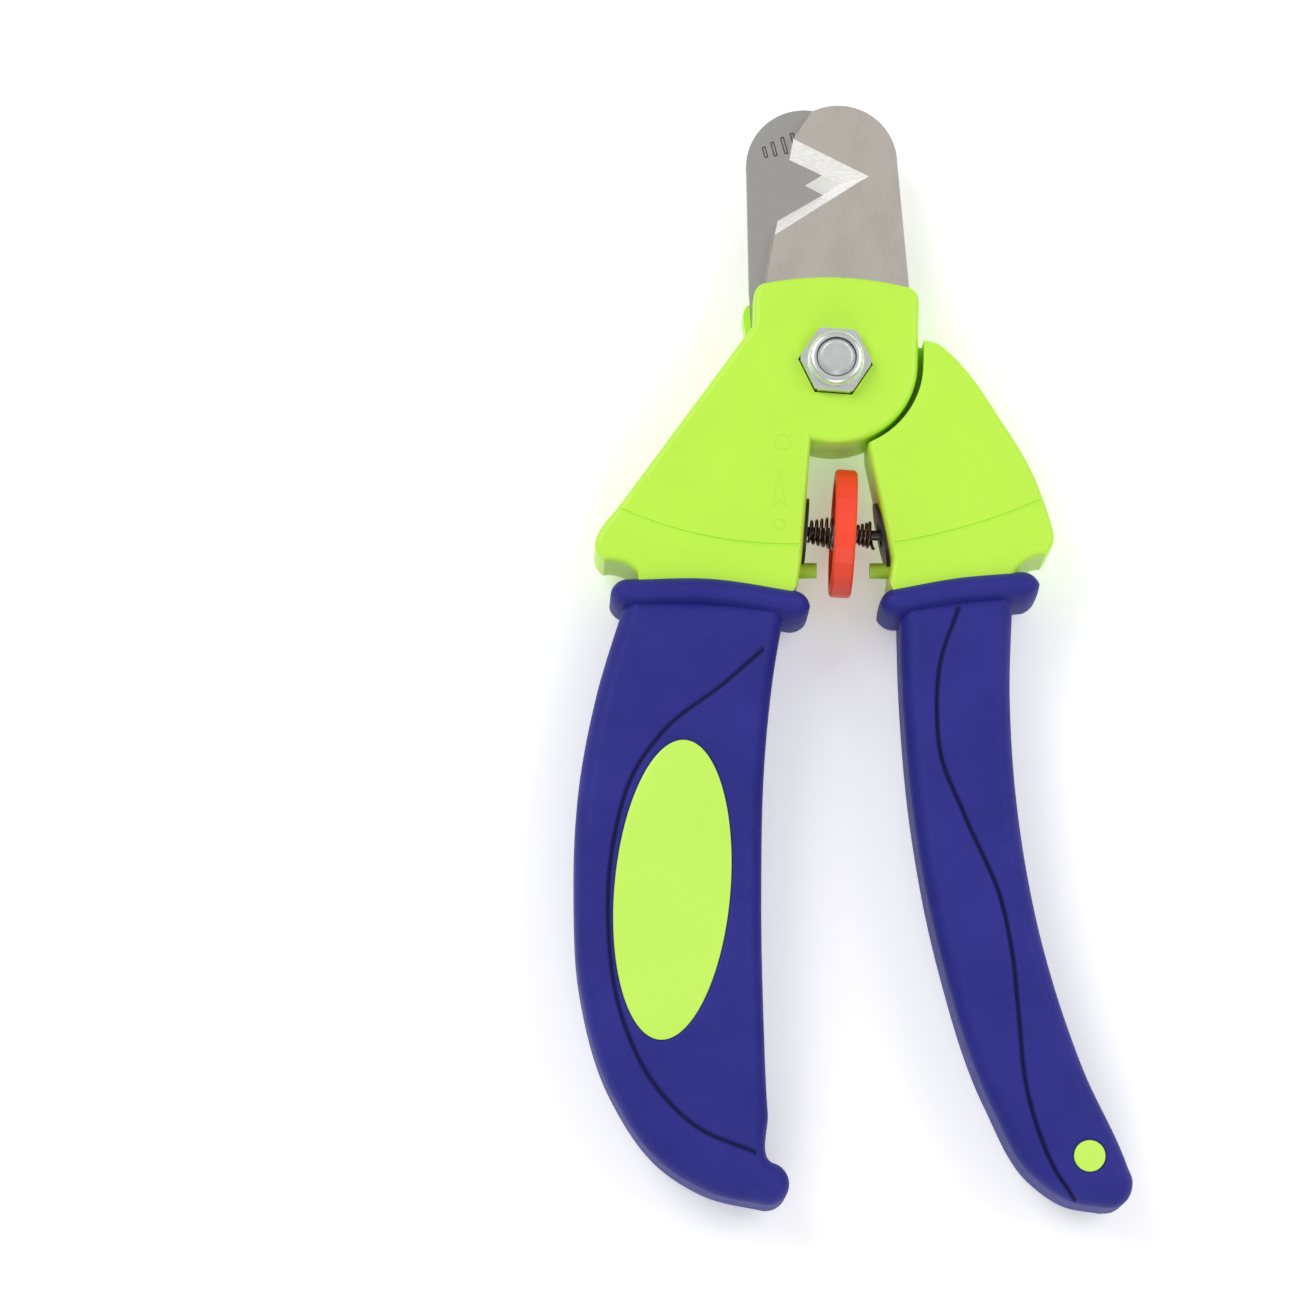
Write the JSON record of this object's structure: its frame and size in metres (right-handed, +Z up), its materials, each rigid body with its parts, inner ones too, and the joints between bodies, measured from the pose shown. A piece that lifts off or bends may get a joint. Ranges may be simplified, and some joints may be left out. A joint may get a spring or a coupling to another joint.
{
  "type": "scissor nail clipper",
  "caption": "Pet nail clipper with two crossed arms on a bolt, notched steel blades, soft grips and a spring-loaded thumb wheel between the arms.",
  "frame": {"origin": "under the middle of the clipper, on the surface it lies on", "axes": "+Y towards the blades' tips, +Z up through the nut, left handle at -X"},
  "size_m": [0.087, 0.1768, 0.0213],
  "materials": {
    "green_plastic": "bright green moulded plastic, satin",
    "badge_plastic": "bright green moulded plastic, satin",
    "indigo_grip": "indigo soft-touch overmould",
    "blade_steel": "ground stainless steel",
    "zinc": "bright zinc plate",
    "nylon": "dark nylon",
    "orange_plastic": "orange-red moulded plastic",
    "bush_metal": "plain steel",
    "stud_steel": "dark steel",
    "black_plastic": "black moulded plastic",
    "spring_steel": "dark oiled spring wire"
  },
  "bodies": {
    "left_arm": {"left_core": "green_plastic", "left_grip": "indigo_grip", "oval_badge": "badge_plastic", "front_blade": "blade_steel", "pivot_bolt": "zinc", "pivot_washer": "zinc", "lock_nut": "zinc", "nut_insert": "nylon", "left_seat": "black_plastic"},
    "right_arm": {"right_core": "green_plastic", "right_grip": "indigo_grip", "grip_dot": "badge_plastic", "rear_blade": "blade_steel", "right_seat": "black_plastic"},
    "adjuster": {"left_spring": "spring_steel", "right_spring": "spring_steel", "left_stud": "stud_steel", "right_stud": "stud_steel"},
    "wheel": {"adjuster_wheel": "orange_plastic", "wheel_bush": "bush_metal"}
  },
  "joints": [
    {"name": "pivot", "type": "hinge", "parent": "left_arm", "child": "right_arm", "pos_m": [-0.00224, 0.04543, 0.0101], "axis": [0, 0, -1], "range_deg": [0, 11], "stiffness_Nm_per_rad": 1.5, "springref_deg": -17.19, "deforming": ["left_spring", "right_spring"]},
    {"name": "adjuster_swing", "type": "hinge", "parent": "left_arm", "child": "adjuster", "pos_m": [-0.00224, 0.04543, 0.0101], "axis": [0, 0, -1], "range_deg": [0, 5.5]},
    {"name": "wheel_turn", "type": "hinge", "parent": "adjuster", "child": "wheel", "pos_m": [-0.00084, 0.01903, 0.0101], "axis": [0.9986, -0.0523, 0], "range_deg": [0, 720]}
  ],
  "couplings": [
    {"joint": "adjuster_swing", "follows": "pivot", "ratio": 0.45}
  ]
}
